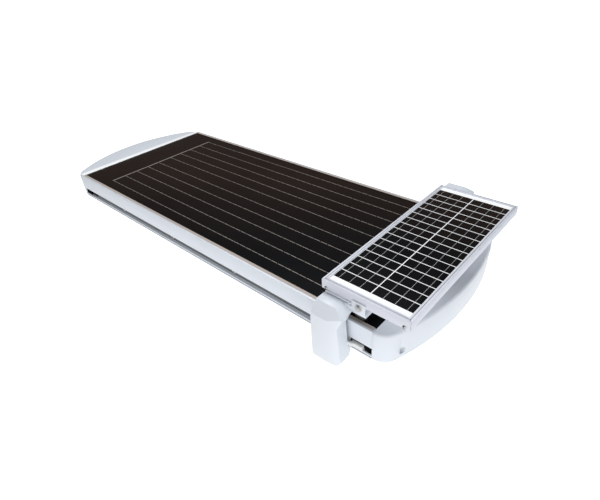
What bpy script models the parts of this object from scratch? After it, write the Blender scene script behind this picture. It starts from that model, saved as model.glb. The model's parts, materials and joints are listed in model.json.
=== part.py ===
"""Solar street lamp that cleans its own panel, as an assembly of separate parts.

A flat lamp head carries a photovoltaic panel on top and the light underneath, and tilts on a pole socket.
A powered carriage straddles the head, runs along grooves in its two side rails and drags a brush over the
glass. The carriage has a small panel of its own on top.

Sizes are in millimetres, and MM turns them into Blender's metres. World axes: +X runs from the pole to the
free end of the head, +Y to the right-hand rail and +Z up. The origin is the centre of the socket's mouth.
Head parts are placed in head coordinates, with x = 0 near the middle of the rails and z = 0 on the glass.
Carriage parts are placed in carriage coordinates, whose x = 0 is the middle of the two arms.
"""

import math

import bmesh
import bpy
from mathutils import Matrix, Vector

MM = 0.001
GAP = 0.3  # what two parts that touch keep between their meshes

# Pole socket and tilt joint
SOCKET_RADIUS = 37.0
SOCKET_BORE = 30.8
SOCKET_LENGTH = 100.0
SOCKET_STOP = 8.0  # thickness of the socket's closed end
PIVOT_DROP = 100.0  # from the glass down to the tilt axis
PIVOT_RISE = 28.0  # from the top of the socket up to the tilt axis
LUG_RADIUS = 20.0
LUG_HALF = 25.7
EAR_THICK = 10.0
BOLT_RADIUS = 6.0
HEAD_X = 360.0  # head coordinate x = 0, measured from the pole's axis

# Head: rails, glass and shell
RAIL_START = -421.0
RAIL_END = 427.5
BODY_HALF = 179.0
BODY_BOTTOM = -52.6
LIP_TOP = 1.5
LIP_UNDER = 0.3
LIP_INNER = 170.5
WALL = 2.4
GROOVE_TOP = -31.4
GROOVE_BOTTOM = -44.9
GROOVE_DEPTH = 6.0
GLASS_THICK = 4.2
GLASS_START = -417.0
FLANGE_INNER = 158.0
TRAY_TOP = -48.1
TRAY_BOTTOM = -50.1
TRAY_HALF = 170.0

# End caps: tip, bow radius, corner radius and the y of the screw recesses
FAR_TIP = -499.0
FAR_BOW = 300.0
FAR_CORNER = 34.0
NEAR_TIP = 484.0
NEAR_BOW = 470.0
NEAR_CORNER = 28.0
CAP_TOP = 1.0
CAP_WALL = 3.0
CAP_SCREW_Y = 150.0
CAP_SCREW_Z = -37.0

# Light
LIGHT_START = 60.0
LIGHT_END = 320.0
LIGHT_HALF = 96.0
LENS_BOTTOM = -56.0

# Carriage
CARRIAGE_X = 367.5
PANEL_FRONT = 113.5  # the small panel's edges along x
PANEL_BACK = -28.5
PANEL_HALF = 177.5
PANEL_TOP = 50.5
PANEL_HEIGHT = 15.5
PANEL_LIP = 7.0
ARM_BOTTOM = -70.0
ARM_TOP = {-1: 31.0, 1: 48.0}  # by side: the right arm stands taller
ARM_OUTER = 212.5
ARM_INNER = 186.2
ARM_SHOULDER = 179.4  # where the shoulders meet the small panel's ends
ARM_WALL = 2.5
BEAM_HALF = 21.0
BEAM_TOP = PANEL_TOP - PANEL_HEIGHT - GAP
BEAM_BOTTOM = 22.0
BRUSH_START = 24.5
BRUSH_END = 46.5
BRUSH_TIP = 1.8
GUIDE_X = 16.0
GUIDE_RADIUS = 6.4
GUIDE_WIDTH = 3.6
DRIVE_RADIUS = 15.0
DRIVE_HUB = 11.0
DRIVE_LOW = -22.0
DRIVE_HIGH = -10.0
DRIVE_Y = BODY_HALF + GAP + DRIVE_RADIUS
MOTOR_RADIUS = 7.4
AXLE_RADIUS = 1.5

# Colour, roughness and metallic value of each finish
FINISHES = {
    "anodised_aluminium": ((0.80, 0.81, 0.84), 0.32, 1.0),
    "white_shell": ((0.86, 0.89, 0.93), 0.35, 0.0),
    "solar_glass": ((0.02, 0.017, 0.015), 0.12, 0.0),
    "sheet_metal": ((0.70, 0.72, 0.74), 0.45, 1.0),
    "cast_aluminium": ((0.62, 0.64, 0.66), 0.5, 1.0),
    "steel": ((0.60, 0.60, 0.61), 0.3, 1.0),
    "circuit_board": ((0.90, 0.90, 0.88), 0.5, 0.0),
    "clear_optic": ((0.85, 0.88, 0.90), 0.08, 0.0),
    "battery_wrap": ((0.05, 0.16, 0.42), 0.4, 0.0),
    "black_plastic": ((0.03, 0.03, 0.032), 0.5, 0.0),
    "sensor_white": ((0.90, 0.90, 0.88), 0.45, 0.0),
    "button_red": ((0.65, 0.06, 0.05), 0.4, 0.0),
    "bristle": ((0.05, 0.05, 0.055), 0.8, 0.0),
    "tyre_rubber": ((0.04, 0.04, 0.04), 0.85, 0.0),
    "nylon": ((0.88, 0.88, 0.86), 0.5, 0.0),
}


# ---------------------------------------------------------------- modelling tools


def clear_scene():
    for obj in list(bpy.data.objects):
        bpy.data.objects.remove(obj, do_unlink=True)


def finish_of(name):
    """The material of a finish, made the first time that it is asked for."""
    found = bpy.data.materials.get(name)
    if found:
        return found
    colour, roughness, metallic = FINISHES[name]
    made = bpy.data.materials.new(name)
    made.use_nodes = True
    shader = made.node_tree.nodes["Principled BSDF"]
    shader.inputs["Base Color"].default_value = (*colour, 1.0)
    shader.inputs["Roughness"].default_value = roughness
    shader.inputs["Metallic"].default_value = metallic
    return made


def frame_at(name, place, parent=None):
    """An empty that carries parts, at a place in millimetres under its parent."""
    empty = bpy.data.objects.new(name, None)
    empty.location = Vector(place) * MM
    empty.parent = parent
    bpy.context.scene.collection.objects.link(empty)
    return empty


def object_of(name, shape, finish, parent, place=(0, 0, 0)):
    """The named object of a bmesh in millimetres, at a place under its parent."""
    bmesh.ops.recalc_face_normals(shape, faces=shape.faces)
    shape.transform(Matrix.Scale(MM, 4))
    mesh = bpy.data.meshes.new(name)
    shape.to_mesh(mesh)
    shape.free()
    mesh.materials.append(finish_of(finish))
    mesh.shade_smooth()
    mesh.set_sharp_from_angle(angle=math.radians(30))
    obj = bpy.data.objects.new(name, mesh)
    obj.location = Vector(place) * MM
    obj.parent = parent
    bpy.context.scene.collection.objects.link(obj)
    return obj


def combine(obj, shape, operation, place=(0, 0, 0)):
    """Cuts a shape from an object, adds it or keeps what they share, through a hidden helper."""
    helper = object_of(f"helper_{obj.name}_{len(obj.modifiers)}", shape, "steel", obj, place)
    helper.hide_render = True
    helper.display_type = "WIRE"
    modifier = obj.modifiers.new(operation.title(), "BOOLEAN")
    modifier.operation = operation
    modifier.object = helper


def loft(rings, capped=True):
    """A closed skin over rings of points, each with the same number of points."""
    shape = bmesh.new()
    rows = [[shape.verts.new(point) for point in ring] for ring in rings]
    for low, high in zip(rows, rows[1:]):
        for i in range(len(low)):
            j = (i + 1) % len(low)
            shape.faces.new((low[i], low[j], high[j], high[i]))
    if capped:
        shape.faces.new(reversed(rows[0]))
        shape.faces.new(rows[-1])
    return shape


# A point from its two coordinates across an axis and the one along it
ALONG = {
    "X": lambda a, b, along: (along, a, b),
    "Y": lambda a, b, along: (a, along, b),
    "Z": lambda a, b, along: (a, b, along),
}


def prism(outline, axis, low, high):
    """An outline run along an axis. Its points are (y, z) for X, (x, z) for Y and (x, y) for Z."""
    place = ALONG[axis]
    return loft([[place(a, b, along) for a, b in outline] for along in (low, high)])


def box(x, y, z, bevel=0.0):
    """A box between the given pairs of limits, with its edges cut off at 45 degrees by the bevel."""
    shape = prism([(x[0], y[0]), (x[1], y[0]), (x[1], y[1]), (x[0], y[1])], "Z", z[0], z[1])
    if bevel:
        bmesh.ops.bevel(shape, geom=shape.edges[:], offset=bevel, segments=1, affect="EDGES")
    return shape


def circle(radius, segments, centre=(0, 0)):
    turns = [2 * math.pi * i / segments for i in range(segments)]
    return [(centre[0] + radius * math.cos(t), centre[1] + radius * math.sin(t)) for t in turns]


def rod(radius, axis, low, high, centre=(0, 0), segments=24):
    return prism(circle(radius, segments, centre), axis, low, high)


def turned(steps, axis, segments=24):
    """A turned solid. Steps are (distance along the axis, radius) from one end to the other."""
    place = ALONG[axis]
    rings = [[place(a, b, along) for a, b in circle(radius, segments)] for along, radius in steps]
    return loft(rings)


def mirrored(outline, side):
    """An outline drawn with y as the distance from the middle, on one side (-1 left, 1 right)."""
    return [(side * y, z) for y, z in outline]


def side_name(side):
    return "left" if side < 0 else "right"


# ---------------------------------------------------------------- pole socket


def build_socket():
    """The fixed part: socket, tilt bolt and clamp screws. The tilt axis lies along Y."""
    socket = object_of(
        "slipfitter_socket", rod(SOCKET_RADIUS, "Z", 0, SOCKET_LENGTH, segments=40), "cast_aluminium", None
    )
    pivot = SOCKET_LENGTH + PIVOT_RISE
    neck = [(-LUG_RADIUS, SOCKET_LENGTH - 5), (LUG_RADIUS, SOCKET_LENGTH - 5)]
    half_turn = [math.pi * i / 12 for i in range(13)]
    neck += [(LUG_RADIUS * math.cos(t), pivot + LUG_RADIUS * math.sin(t)) for t in half_turn]
    combine(socket, prism(neck, "Y", -LUG_HALF, LUG_HALF), "UNION")
    combine(socket, rod(SOCKET_BORE, "Z", -1, SOCKET_LENGTH - SOCKET_STOP, segments=40), "DIFFERENCE")
    combine(socket, rod(BOLT_RADIUS + GAP, "Y", -LUG_HALF - 1, LUG_HALF + 1, (0, pivot)), "DIFFERENCE")

    reach = LUG_HALF + GAP + EAR_THICK
    bolt = turned(
        [
            (-reach - 8, 9.5),
            (-reach - GAP, 9.5),
            (-reach - GAP + 0.01, BOLT_RADIUS),
            (reach + GAP - 0.01, BOLT_RADIUS),
            (reach + GAP, 10.5),
            (reach + 10, 10.5),
            (reach + 10.01, BOLT_RADIUS - 0.5),
            (reach + 14, BOLT_RADIUS - 1),
        ],
        "Y",
    )
    object_of("tilt_pivot_bolt", bolt, "steel", None, (0, 0, pivot))

    for name, height in (("clamp_screw_lower", 24.0), ("clamp_screw_upper", 66.0)):
        screw = turned(
            [
                (SOCKET_BORE + GAP, 4.6),
                (SOCKET_RADIUS + 5, 4.6),
                (SOCKET_RADIUS + 5.01, 8.0),
                (SOCKET_RADIUS + 11, 8.0),
            ],
            "X",
            segments=6,
        )
        object_of(name, screw, "steel", None, (0, 0, height))
        hole = rod(5.0, "X", SOCKET_BORE - 4, SOCKET_RADIUS + 4, (0, height), segments=16)
        combine(socket, hole, "DIFFERENCE")


def build_bracket(head):
    """The saddle under the head, with two ears for the tilt bolt, and the stud plate inside."""
    x = -HEAD_X
    plate_low = TRAY_BOTTOM - GAP - 8.0
    plate = object_of(
        "bracket_saddle",
        box((x - 55, x + 55), (-60, 60), (plate_low, TRAY_BOTTOM - GAP), 2.0),
        "cast_aluminium",
        head,
    )
    quarter = [math.pi + math.pi * i / 12 for i in range(13)]
    ear = [(x - 30, plate_low + 3)]
    ear += [(x + LUG_RADIUS * math.cos(t), -PIVOT_DROP + LUG_RADIUS * math.sin(t)) for t in quarter]
    ear += [(x + 30, plate_low + 3)]
    for side in (-1, 1):
        low, high = sorted((side * (LUG_HALF + GAP), side * (LUG_HALF + GAP + EAR_THICK)))
        combine(plate, prism(ear, "Y", low, high), "UNION")
    hole = rod(BOLT_RADIUS + GAP, "Y", -50, 50, (x, -PIVOT_DROP))
    combine(plate, hole, "DIFFERENCE")

    studs = object_of(
        "bracket_stud_plate",
        box((x - 50, x + 50), (-55, 55), (TRAY_TOP + GAP, TRAY_TOP + GAP + 4)),
        "steel",
        head,
    )
    for stud_x in (x - 42, x + 42):
        for stud_y in (-47, 47):
            stud = rod(4.0, "Z", plate_low - 9, TRAY_TOP + 2, (stud_x, stud_y), segments=12)
            combine(studs, stud, "UNION")
            nut = rod(7.5, "Z", plate_low - 6.5, plate_low - GAP, (stud_x, stud_y), segments=6)
            combine(studs, nut, "UNION")
            hole = rod(4.0 + GAP, "Z", plate_low - 1, TRAY_BOTTOM + 1, (stud_x, stud_y), segments=12)
            combine(plate, hole, "DIFFERENCE")
    return [(stud_x, stud_y) for stud_x in (x - 42, x + 42) for stud_y in (-47, 47)]


# ---------------------------------------------------------------- head


def rail_outline():
    """Half section of a side rail: glass lip and shelf, plain side, wheel groove and bottom flange."""
    inside = BODY_HALF - WALL
    floor = BODY_HALF - GROOVE_DEPTH
    return [
        (LIP_INNER, LIP_TOP),
        (BODY_HALF, LIP_TOP),
        (BODY_HALF, GROOVE_TOP),
        (floor, GROOVE_TOP),
        (floor, GROOVE_BOTTOM),
        (BODY_HALF, GROOVE_BOTTOM),
        (BODY_HALF, BODY_BOTTOM),
        (FLANGE_INNER, BODY_BOTTOM),
        (FLANGE_INNER, TRAY_BOTTOM - GAP),
        (inside, TRAY_BOTTOM - GAP),
        (inside, GROOVE_BOTTOM - WALL),
        (floor - WALL, GROOVE_BOTTOM - WALL),
        (floor - WALL, GROOVE_TOP + WALL),
        (inside, GROOVE_TOP + WALL),
        (inside, -GLASS_THICK - GAP - WALL),
        (168.0, -GLASS_THICK - GAP - WALL),
        (168.0, -GLASS_THICK - GAP),
        (inside, -GLASS_THICK - GAP),
        (inside, LIP_UNDER),
        (LIP_INNER, LIP_UNDER),
    ]


def cap_ring(join, tip, bow, corner, inset, z, steps=20):
    """One level of an end cap: straight sides from the joint, two round corners and a bowed end."""
    way = 1 if tip > join else -1
    half = BODY_HALF - inset
    bow -= inset
    corner -= inset
    reach = abs(tip) - inset
    centre = reach - bow
    corner_x = centre + math.sqrt((bow - corner) ** 2 - (half - corner) ** 2)
    corner_y = half - corner
    lean = math.atan2(corner_y, corner_x - centre)
    points = [(abs(join), half)]
    for i in range(7):
        t = math.pi / 2 + (lean - math.pi / 2) * i / 6
        points.append((corner_x + corner * math.cos(t), corner_y + corner * math.sin(t)))
    for i in range(1, steps):
        t = lean * (1 - i / steps)
        points.append((centre + bow * math.cos(t), bow * math.sin(t)))
    points += [(centre + bow, 0.0)] + [(x, -y) for x, y in reversed(points)]
    return [(way * x, y, z) for x, y in points]


def build_cap(name, head, join, tip, bow, corner):
    """A moulded end cap: a hollow shell with soft upper and lower edges, open towards the rails."""
    foot = ((3.0, BODY_BOTTOM), (0.8, -51.8), (0.0, -49.4))
    crown = ((0.0, -4.5), (0.9, -1.4), (2.6, 0.3), (5.5, CAP_TOP))
    rings = [cap_ring(join, tip, bow, corner, inset, z) for inset, z in foot + crown]
    cap = object_of(name, loft(rings), "white_shell", head)
    way = 1 if tip > join else -1
    inner_join = join - way * 2.0
    hollow = [
        cap_ring(inner_join, tip, bow, corner, CAP_WALL, z)
        for z in (BODY_BOTTOM + CAP_WALL, CAP_TOP - CAP_WALL - 0.5)
    ]
    combine(cap, loft(hollow), "DIFFERENCE")
    return cap


def screw_seat(tip, bow, y):
    """x of a cap's outer face at a distance y from the middle."""
    way = 1 if tip > 0 else -1
    centre = abs(tip) - bow
    return way * (centre + math.sqrt(bow**2 - y**2))


def build_cap_screws(cap, head, label, tip, bow, y):
    """Two recessed screws through a cap's bowed wall."""
    way = 1 if tip > 0 else -1
    face = screw_seat(tip, bow, y)
    seat = face - way * 7.0
    for side in (-1, 1):
        centre = (side * y, CAP_SCREW_Z)
        pocket = rod(8.5, "X", *sorted((seat - way * 3.0, face - way * 1.0)), centre, 20)
        combine(cap, pocket, "UNION")
        recess = rod(6.2, "X", *sorted((seat, face + way * 12.0)), centre, 20)
        combine(cap, recess, "DIFFERENCE")
        hole = rod(2.4, "X", *sorted((seat - way * 6.0, seat + way * 1.0)), centre, 12)
        combine(cap, hole, "DIFFERENCE")
        steps = [(-18.0, 2.0), (GAP - 0.01, 2.0), (GAP, 4.3), (2.4, 4.3), (3.0, 3.4)]
        screw = turned([(way * along, radius) for along, radius in steps], "X", 16)
        object_of(f"cap_screw_{label}_{side_name(side)}", screw, "steel", head, (seat, *centre))


def build_tray(head, stud_places):
    """The base sheet between the rails, with the window for the light and holes for what passes through."""
    tray = object_of(
        "base_tray",
        box((RAIL_START + GAP, RAIL_END - GAP), (-TRAY_HALF, TRAY_HALF), (TRAY_BOTTOM, TRAY_TOP)),
        "sheet_metal",
        head,
    )
    reach = (TRAY_BOTTOM - 2, TRAY_TOP + 2)
    window = box((LIGHT_START, LIGHT_END), (-LIGHT_HALF, LIGHT_HALF), reach)
    combine(tray, window, "DIFFERENCE")
    for place in stud_places:
        combine(tray, rod(4.0 + GAP, "Z", *reach, place, 12), "DIFFERENCE")
    combine(tray, rod(13.0, "Z", *reach, (375, 0)), "DIFFERENCE")
    combine(tray, rod(9.0 + GAP, "Z", *reach, (-235, 90)), "DIFFERENCE")


def build_light(head):
    """Finned heat sink inside, board in the tray's window, and the optic below."""
    base = TRAY_TOP + GAP
    comb = [(-108, base), (108, base), (108, base + 4)]
    fins = 19
    pitch = 204.0 / (fins - 1)
    for i in range(fins):
        y = 102 - pitch * i
        comb += [(y + 1.0, base + 4), (y + 1.0, base + 26), (y - 1.0, base + 26), (y - 1.0, base + 4)]
    comb.append((-108, base + 4))
    object_of("led_heatsink", prism(comb, "X", LIGHT_START - 12, LIGHT_END + 12), "cast_aluminium", head)
    object_of(
        "led_board",
        box(
            (LIGHT_START + 4, LIGHT_END - 4),
            (-LIGHT_HALF + 4, LIGHT_HALF - 4),
            (TRAY_BOTTOM, TRAY_TOP - 0.1),
        ),
        "circuit_board",
        head,
    )
    object_of(
        "lens_plate",
        box(
            (LIGHT_START - 12, LIGHT_END + 12),
            (-LIGHT_HALF - 12, LIGHT_HALF + 12),
            (LENS_BOTTOM, TRAY_BOTTOM - GAP),
            1.5,
        ),
        "clear_optic",
        head,
    )


def build_power(head):
    """Batteries, charge controller, motion sensor and the power button's bezel."""
    floor = TRAY_TOP + GAP
    for side in (-1, 1):
        low, high = sorted((side * 22, side * 158))
        pack = box((-225, 25), (low, high), (floor, floor + 34), 4.0)
        object_of(f"battery_pack_{side_name(side)}", pack, "battery_wrap", head)
    object_of(
        "charge_controller", box((-300, -245), (-60, 60), (floor, floor + 24), 2.0), "black_plastic", head
    )
    dome = [(floor + 12, 12.0), (TRAY_BOTTOM - GAP + 0.01, 12.0), (TRAY_BOTTOM - GAP, 19.0), (-55.0, 19.0)]
    dome += [(-55.0 - 11.0 * math.sin(t), 15.0 * math.cos(t)) for t in (0.0, 0.4, 0.8, 1.15, 1.4)]
    sensor = turned([(z + 55.0, r) for z, r in dome], "Z", 24)
    object_of("motion_sensor", sensor, "sensor_white", head, (375, 0, -55))

    flange = TRAY_BOTTOM - GAP
    bezel = object_of(
        "button_bezel",
        turned([(-56.0, 13.0), (-55.0, 14.0), (flange, 14.0), (flange + 0.01, 9.0), (-38.0, 9.0)], "Z"),
        "black_plastic",
        head,
        (-235, 90, 0),
    )
    combine(bezel, rod(6.4, "Z", -60, -45, segments=20), "DIFFERENCE")


def build_head(head):
    glass = box(
        (GLASS_START, RAIL_END - GAP),
        (-BODY_HALF + WALL + GAP, BODY_HALF - WALL - GAP),
        (-GLASS_THICK, 0),
    )
    object_of("solar_laminate", glass, "solar_glass", head)
    for side in (-1, 1):
        rail = prism(mirrored(rail_outline(), side), "X", RAIL_START, RAIL_END)
        object_of(f"side_rail_{side_name(side)}", rail, "anodised_aluminium", head)
    far = build_cap("end_cap_far", head, RAIL_START - GAP, FAR_TIP, FAR_BOW, FAR_CORNER)
    near = build_cap("end_cap_near", head, RAIL_END + GAP, NEAR_TIP, NEAR_BOW, NEAR_CORNER)
    bar = box((RAIL_START - 4, GLASS_START - GAP), (-LIP_INNER + 1, LIP_INNER - 1), (-3, LIP_TOP))
    combine(far, bar, "UNION")
    build_cap_screws(far, head, "far", FAR_TIP, FAR_BOW, 120.0)
    build_cap_screws(near, head, "near", NEAR_TIP, NEAR_BOW, CAP_SCREW_Y)
    build_tray(head, build_bracket(head))
    build_light(head)
    build_power(head)


def build_button(head):
    """The power button travels up into its bezel."""
    cap = turned([(0.0, 4.6), (0.6, 5.6), (6.0, 5.6)], "Z", 20)
    object_of("power_button", cap, "button_red", head, (-235, 90, -57.5))


# ---------------------------------------------------------------- carriage


def arm_outlines(top, inset):
    """An arm's outlines from the end, from the side and from above, for the cover or, inset, the room in it.

    The end outline gives y as the distance from the middle. It steps in under the head's flange, and its
    shoulder reaches the beam.
    """
    outer = ARM_OUTER - inset
    low = ARM_BOTTOM + inset
    high = top - inset
    if inset:
        end = [(170.0, 20.0), (170.0, -43.6), (ARM_INNER + 0.5, -43.6)]
        end += [(182.6, -46.5), (182.6, -53.5), (188.3, low)]
    else:
        end = [(184.6, 20.0), (ARM_INNER, 15.0), (ARM_INNER, -44.0)]
        end += [(179.9, -47.5), (179.9, -54.0), (186.0, low)]
    end += [(outer - 2.5, low), (outer, low + 2.5), (outer, high - 15.0), (outer - 15.0, high)]
    end += [(ARM_SHOULDER + inset, high), (ARM_SHOULDER + inset, BEAM_BOTTOM + 0.5 + inset)]
    if inset:
        end += [(186.0, 22.5), (187.5, 20.0)]
    foot = low - inset * 2.0
    flank = [
        (-20.5 + inset * 0.8, foot),
        (-25.5 + inset, -64.0),
        (-25.0 + inset, -37.0),
        (-23.0 + inset, 0.0),
        (-21.0 + inset, 16.0),
        (-22.5 + inset, high),
        (12.0 - inset * 0.4, high),
        (26.5 - inset * 1.4, high - 9.0),
        (25.0 - inset, high - 17.0),
        (20.5 - inset, 4.0),
        (24.0 - inset, -37.0),
        (25.5 - inset, -64.0),
        (22.0 - inset * 0.8, foot),
    ]
    front = 26.5 - inset
    back = -25.5 + inset
    plan = [
        (back, 160.0),
        (front, 160.0),
        (front, 204.5 - inset),
        (22.0 - inset, 207.5 - inset * 0.6),
        (6.0 - inset * 0.4, outer),
        (-22.0 + inset * 0.4, outer),
        (back, 209.0 - inset),
    ]
    return end, flank, plan


def arm_solid(name, carriage, side, inset):
    """What the three outlines of an arm share."""
    end, flank, plan = arm_outlines(ARM_TOP[side], inset)
    solid = object_of(name, prism(mirrored(end, side), "X", -40, 40), "white_shell", carriage)
    combine(solid, prism(flank, "Y", *sorted((side * 150, side * 240))), "INTERSECT")
    combine(solid, prism([(x, side * y) for x, y in plan], "Z", -90, 70), "INTERSECT")
    return solid


def build_arm(carriage, side):
    """One arm: hollow cover, chassis plate, two groove wheels, gear motor, drive wheel and guide shoe."""
    label = side_name(side)
    cover = arm_solid(f"arm_cover_{label}", carriage, side, 0.0)
    room = arm_solid(f"room_{label}", carriage, side, ARM_WALL)
    room.hide_render = True
    room.display_type = "WIRE"
    cut = cover.modifiers.new("Hollow", "BOOLEAN")
    cut.operation = "DIFFERENCE"
    cut.object = room

    outline = [(-21.8, -43.0), (21.0, -43.0), (20.9, -36.0), (17.5, 5.5), (18.7, 18.8)]
    outline += [(-18.1, 18.8), (-20.0, 0.0)]
    inner, outer = ARM_INNER + 0.4, ARM_INNER + 2.4
    plate = prism(outline, "Y", *sorted((side * inner, side * outer)))
    chassis = object_of(f"arm_chassis_{label}", plate, "white_shell", carriage)
    through = sorted((side * (inner - 3), side * (outer + 3)))
    combine(chassis, box((-14, 14), through, (DRIVE_LOW - 3, DRIVE_HIGH + 3)), "DIFFERENCE")
    combine(chassis, box((-9.5, 9.5), through, (-50, DRIVE_LOW)), "DIFFERENCE")

    wheel_z = GROOVE_BOTTOM + GAP + GUIDE_RADIUS
    wheel_y = BODY_HALF - GUIDE_WIDTH / 2 - 0.3
    for end_name, x in (("back", -GUIDE_X), ("front", GUIDE_X)):
        hole = rod(AXLE_RADIUS + GAP, "Y", *through, (x, wheel_z), 16)
        combine(chassis, hole, "DIFFERENCE")
        build_guide_wheel(carriage, f"{label}_{end_name}", side, (x, side * wheel_y, wheel_z))

    build_drive(carriage, label, side)
    build_shoe(carriage, label, side)


def build_guide_wheel(carriage, label, side, place):
    """A groove wheel turns on a shouldered axle that the chassis plate holds."""
    half = GUIDE_WIDTH / 2
    rim = GUIDE_RADIUS - 0.5
    steps = [(-half, rim), (-half + 0.5, GUIDE_RADIUS), (half - 0.5, GUIDE_RADIUS), (half, rim)]
    wheel = turned(steps, "Y", 32)
    made = object_of(f"guide_wheel_{label}", wheel, "nylon", carriage, place)
    combine(made, rod(AXLE_RADIUS + GAP, "Y", -5, 5, segments=20), "DIFFERENCE")
    out = ARM_INNER - abs(place[1])  # from the wheel's middle out to the chassis plate
    steps = [
        (-half - 0.3, AXLE_RADIUS),
        (half + 0.4, AXLE_RADIUS),
        (half + 0.41, 3.0),
        (out, 3.0),
        (out + 0.01, AXLE_RADIUS),
        (out + 4.5, AXLE_RADIUS),
    ]
    axle = turned([(side * along, radius) for along, radius in steps], "Y", 20)
    object_of(f"guide_axle_{label}", axle, "steel", carriage, place)


def build_drive(carriage, label, side):
    """Gear motor standing in the arm, and the drive wheel on top of it with its rubber tyre."""
    centre = (0, side * DRIVE_Y, 0)
    steps = [
        (-61.0, MOTOR_RADIUS),
        (-41.0, MOTOR_RADIUS),
        (-40.99, MOTOR_RADIUS - 0.6),
        (-26.5, MOTOR_RADIUS - 0.6),
        (-26.49, 4.0),
        (-24.5, 4.0),
        (-24.49, 2.0),
        (DRIVE_HIGH - 1.0, 2.0),
    ]
    object_of(f"gear_motor_{label}", turned(steps, "Z", 24), "steel", carriage, centre)
    hub_rod = rod(DRIVE_HUB, "Z", DRIVE_LOW, DRIVE_HIGH, segments=32)
    hub = object_of(f"drive_hub_{label}", hub_rod, "nylon", carriage, centre)
    combine(hub, rod(2.0 + GAP, "Z", DRIVE_LOW - 1, DRIVE_HIGH - 0.7, segments=16), "DIFFERENCE")
    tyre_rod = rod(DRIVE_RADIUS, "Z", DRIVE_LOW, DRIVE_HIGH, segments=48)
    tyre = object_of(f"drive_tyre_{label}", tyre_rod, "tyre_rubber", carriage, centre)
    combine(tyre, rod(DRIVE_HUB + GAP, "Z", DRIVE_LOW - 1, DRIVE_HIGH + 1, segments=32), "DIFFERENCE")


def build_shoe(carriage, label, side):
    """The slider that runs ahead of the wheels in the groove's mouth."""
    outline = [
        (21.5, 185.7),
        (28.0, 185.7),
        (33.0, 182.6),
        (44.5, 182.6),
        (46.0, 181.2),
        (46.0, 176.6),
        (26.0, 176.6),
        (26.0, 181.4),
        (21.5, 181.4),
    ]
    shape = prism([(x, side * y) for x, y in outline], "Z", -42.0, -35.6)
    object_of(f"guide_shoe_{label}", shape, "nylon", carriage)


def build_bridge(carriage):
    """The beam that joins the arms over the glass, its lid, and the carriage's battery and board."""
    low, high = BEAM_BOTTOM, BEAM_TOP
    inner = BEAM_HALF - 2.0
    channel = [
        (-BEAM_HALF, low),
        (-inner, low),
        (-inner, high - 2),
        (inner, high - 2),
        (inner, low),
        (BEAM_HALF, low),
        (BEAM_HALF, high),
        (-BEAM_HALF, high),
    ]
    span = ARM_SHOULDER - GAP
    object_of("bridge_beam", prism(channel, "Y", -span, span), "white_shell", carriage)
    lid = box((-BEAM_HALF, BEAM_HALF), (-span, span), (low - 2.3, low - GAP))
    object_of("bridge_lid", lid, "white_shell", carriage)
    cells = box((-16, 16), (-130, -20), (low + 0.5, low + 10), 1.0)
    object_of("carriage_battery", cells, "battery_wrap", carriage)
    object_of("carriage_board", box((-16, 16), (20, 130), (low + 2, low + 3.6)), "circuit_board", carriage)


def build_brush(carriage):
    """Angle-shaped holder bolted to the beam, the brush's back strip and its flared bristles."""
    wall = BEAM_HALF + GAP
    low = 18.9
    angle = [
        (wall, low),
        (48.0, low),
        (48.0, low + 2.2),
        (wall + 2.2, low + 2.2),
        (wall + 2.2, 34.0),
        (wall, 34.0),
    ]
    holder = object_of("brush_holder", prism(angle, "Y", -178.4, 178.4), "white_shell", carriage)
    beam = bpy.data.objects["bridge_beam"]
    for side in (-1, 1):
        centre = (side * 168.0, 28.5)
        combine(holder, rod(2.8, "X", wall - 2, wall + 5, centre, 16), "DIFFERENCE")
        combine(beam, rod(2.8, "X", BEAM_HALF - 6, BEAM_HALF + 4, centre, 16), "DIFFERENCE")
        steps = [(-6.0, 2.4), (2.2 + GAP - 0.01, 2.4), (2.2 + GAP, 4.6), (7.0, 4.6), (7.01, 2.4), (12.5, 2.4)]
        bolt = turned(steps, "X", 12)
        object_of(f"brush_bolt_{side_name(side)}", bolt, "steel", carriage, (wall, *centre))
    strip = [(29.5, 13.0), (41.5, 13.0), (41.5, low - GAP), (29.5, low - GAP)]
    object_of("brush_back", prism(strip, "Y", -176, 176), "black_plastic", carriage)
    tuft = [(BRUSH_START, BRUSH_TIP), (BRUSH_END, BRUSH_TIP), (41.0, 13.0 - GAP), (30.0, 13.0 - GAP)]
    object_of("brush_bristles", prism(tuft, "Y", -176, 176), "bristle", carriage)


def frame_rail(length_half, across):
    """A mitred rail of the small panel's frame. Its section is drawn inwards from the outer edge."""
    low, high = PANEL_TOP - PANEL_HEIGHT, PANEL_TOP
    section = [
        (0.0, low),
        (0.0, high),
        (PANEL_LIP, high),
        (PANEL_LIP, high - 1.2),
        (1.6, high - 1.2),
        (1.6, low + 1.4),
        (11.0, low + 1.4),
        (11.0, low),
    ]
    rings = []
    for way in (-1, 1):
        rings.append([across(way * (length_half - inwards - 0.3), inwards, z) for inwards, z in section])
    return loft(rings)


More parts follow.
